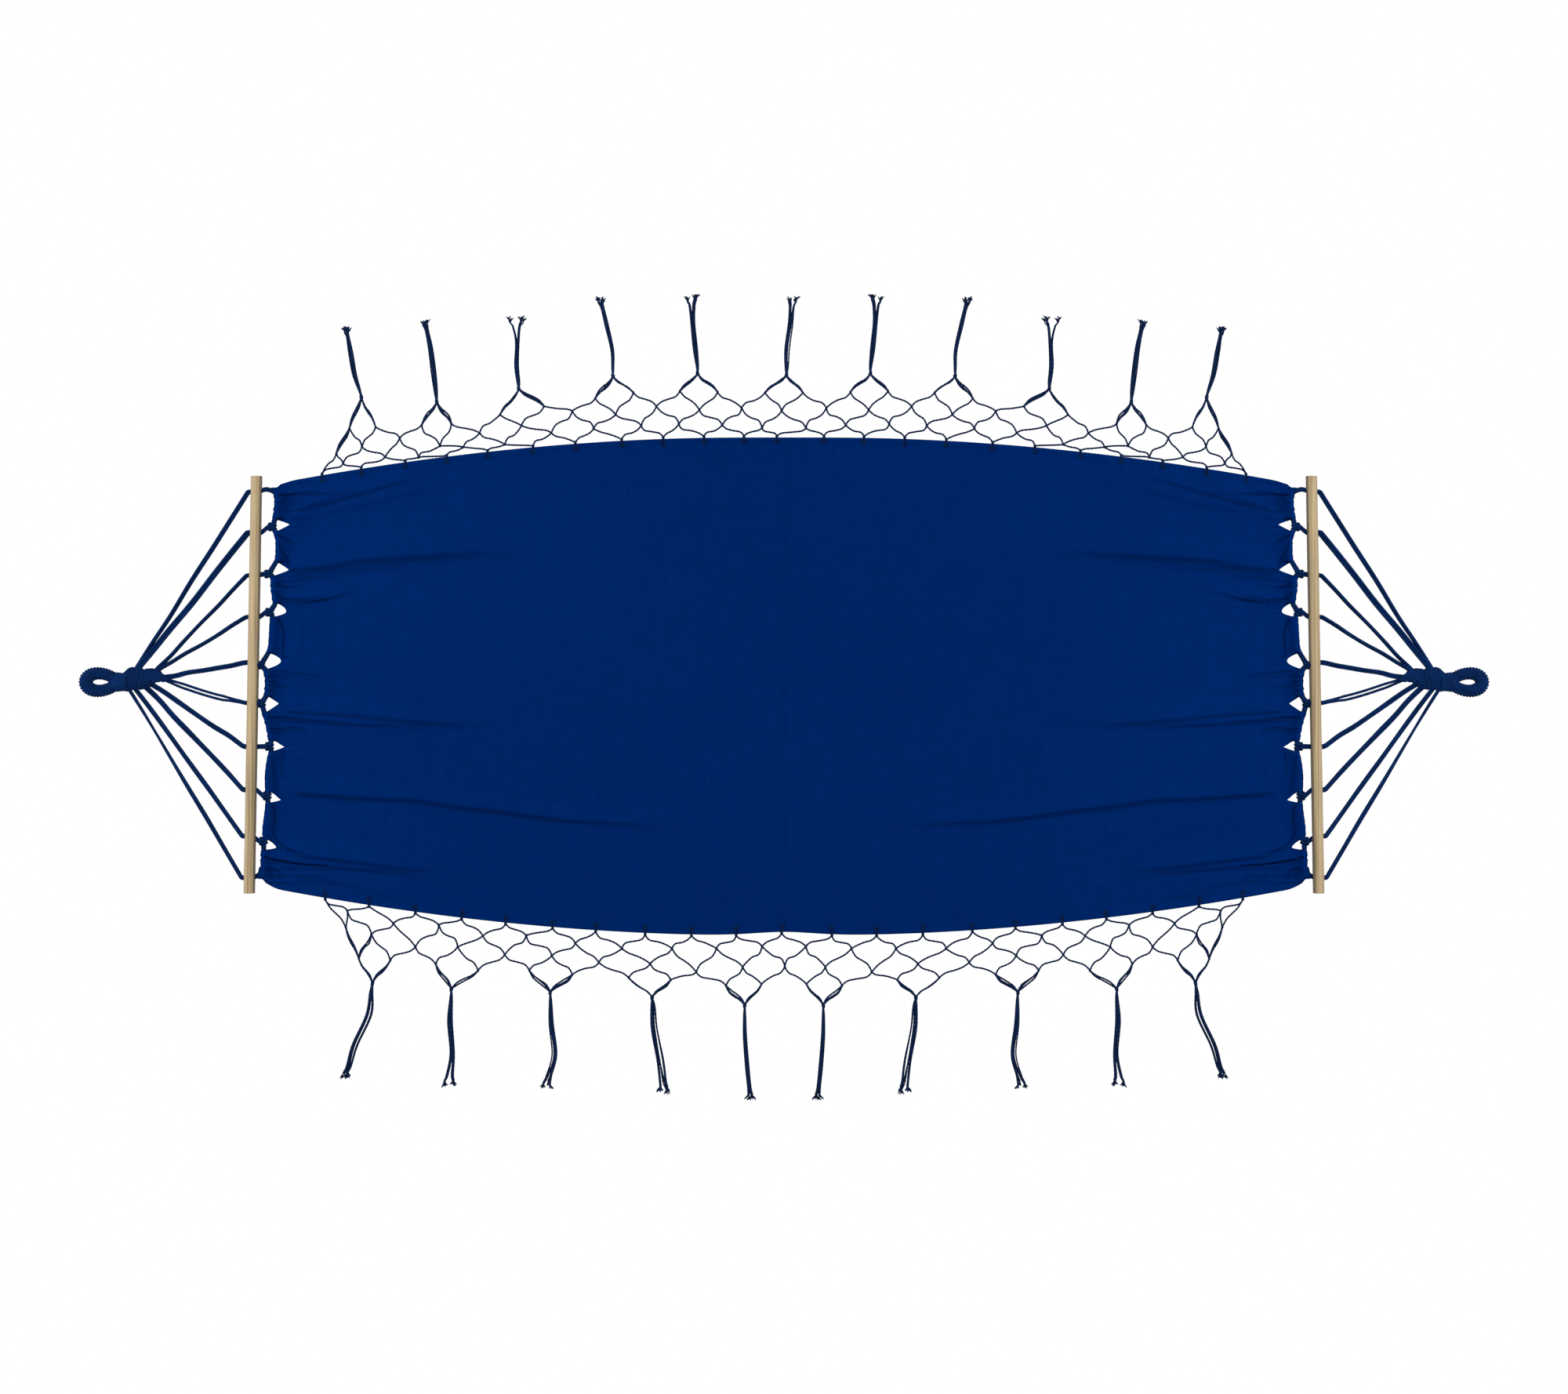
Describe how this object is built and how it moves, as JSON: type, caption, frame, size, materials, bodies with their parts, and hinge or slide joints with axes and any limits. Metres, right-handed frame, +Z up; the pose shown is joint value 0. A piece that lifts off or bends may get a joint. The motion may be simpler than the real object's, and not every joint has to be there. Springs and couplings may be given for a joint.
{
  "type": "rope hammock",
  "caption": "Cloth hammock bed on edge ropes, held open by wooden spreader bars, with cord clews ending in hanging eyes and netted tassel fringes.",
  "frame": {"origin": "on the ground below the middle of the laid-out hammock, fringes included", "axes": "+X along the hammock towards the right-hand hanging eye, +Y across the bed towards the shorter fringe, +Z up"},
  "size_m": [2.694, 1.5313, 0.0214],
  "materials": {
    "bed_cloth": "woven cotton canvas, matt",
    "cotton_cord": "twisted cotton cord, matt",
    "bar_wood": "bare sanded pale wood"
  },
  "bodies": {
    "bed_middle": {"bed_center": "bed_cloth", "fringe_top_center": "cotton_cord", "fringe_bottom_center": "cotton_cord"},
    "bed_end_left": {"bed_left": "bed_cloth", "edge_rope_left": "cotton_cord", "fringe_top_left": "cotton_cord", "fringe_bottom_left": "cotton_cord"},
    "bar_left": {"spreader_bar_left": "bar_wood", "link_left_01": "cotton_cord", "link_left_02": "cotton_cord", "link_left_03": "cotton_cord", "link_left_04": "cotton_cord", "link_left_05": "cotton_cord", "link_left_06": "cotton_cord", "link_left_07": "cotton_cord", "link_left_08": "cotton_cord", "link_left_09": "cotton_cord", "link_left_10": "cotton_cord"},
    "clew_left": {"neck_left": "cotton_cord", "whipping_left": "cotton_cord", "hanging_eye_left": "cotton_cord", "clew_cord_left_01": "cotton_cord", "clew_cord_left_02": "cotton_cord", "clew_cord_left_03": "cotton_cord", "clew_cord_left_04": "cotton_cord", "clew_cord_left_05": "cotton_cord", "clew_cord_left_06": "cotton_cord", "clew_cord_left_07": "cotton_cord", "clew_cord_left_08": "cotton_cord", "clew_cord_left_09": "cotton_cord", "clew_cord_left_10": "cotton_cord"},
    "bed_end_right": {"bed_right": "bed_cloth", "edge_rope_right": "cotton_cord", "fringe_top_right": "cotton_cord", "fringe_bottom_right": "cotton_cord"},
    "bar_right": {"spreader_bar_right": "bar_wood", "link_right_01": "cotton_cord", "link_right_02": "cotton_cord", "link_right_03": "cotton_cord", "link_right_04": "cotton_cord", "link_right_05": "cotton_cord", "link_right_06": "cotton_cord", "link_right_07": "cotton_cord", "link_right_08": "cotton_cord", "link_right_09": "cotton_cord", "link_right_10": "cotton_cord"},
    "clew_right": {"neck_right": "cotton_cord", "whipping_right": "cotton_cord", "hanging_eye_right": "cotton_cord", "clew_cord_right_01": "cotton_cord", "clew_cord_right_02": "cotton_cord", "clew_cord_right_03": "cotton_cord", "clew_cord_right_04": "cotton_cord", "clew_cord_right_05": "cotton_cord", "clew_cord_right_06": "cotton_cord", "clew_cord_right_07": "cotton_cord", "clew_cord_right_08": "cotton_cord", "clew_cord_right_09": "cotton_cord", "clew_cord_right_10": "cotton_cord"}
  },
  "joints": [
    {"name": "bed_fold_left", "type": "hinge", "parent": "bed_middle", "child": "bed_end_left", "pos_m": [-0.292, 0, 0.001], "axis": [0, 1, 0], "range_deg": [0, 30]},
    {"name": "bar_swing_left", "type": "hinge", "parent": "bed_end_left", "child": "bar_left", "pos_m": [-0.9805, 0.0235, 0.007], "axis": [0.0349, 0.9994, 0], "range_deg": [0, 90]},
    {"name": "clew_swing_left", "type": "hinge", "parent": "bar_left", "child": "clew_left", "pos_m": [-1.0148, 0.0235, 0.01], "axis": [0.0175, 0.9998, 0], "range_deg": [0, 90]},
    {"name": "bed_fold_right", "type": "hinge", "parent": "bed_middle", "child": "bed_end_right", "pos_m": [0.292, 0, 0.001], "axis": [0, -1, 0], "range_deg": [0, 30]},
    {"name": "bar_swing_right", "type": "hinge", "parent": "bed_end_right", "child": "bar_right", "pos_m": [0.9805, 0.0235, 0.007], "axis": [0.0349, -0.9994, 0], "range_deg": [0, 90]},
    {"name": "clew_swing_right", "type": "hinge", "parent": "bar_right", "child": "clew_right", "pos_m": [1.0148, 0.0235, 0.01], "axis": [0.0175, -0.9998, 0], "range_deg": [0, 90]}
  ]
}
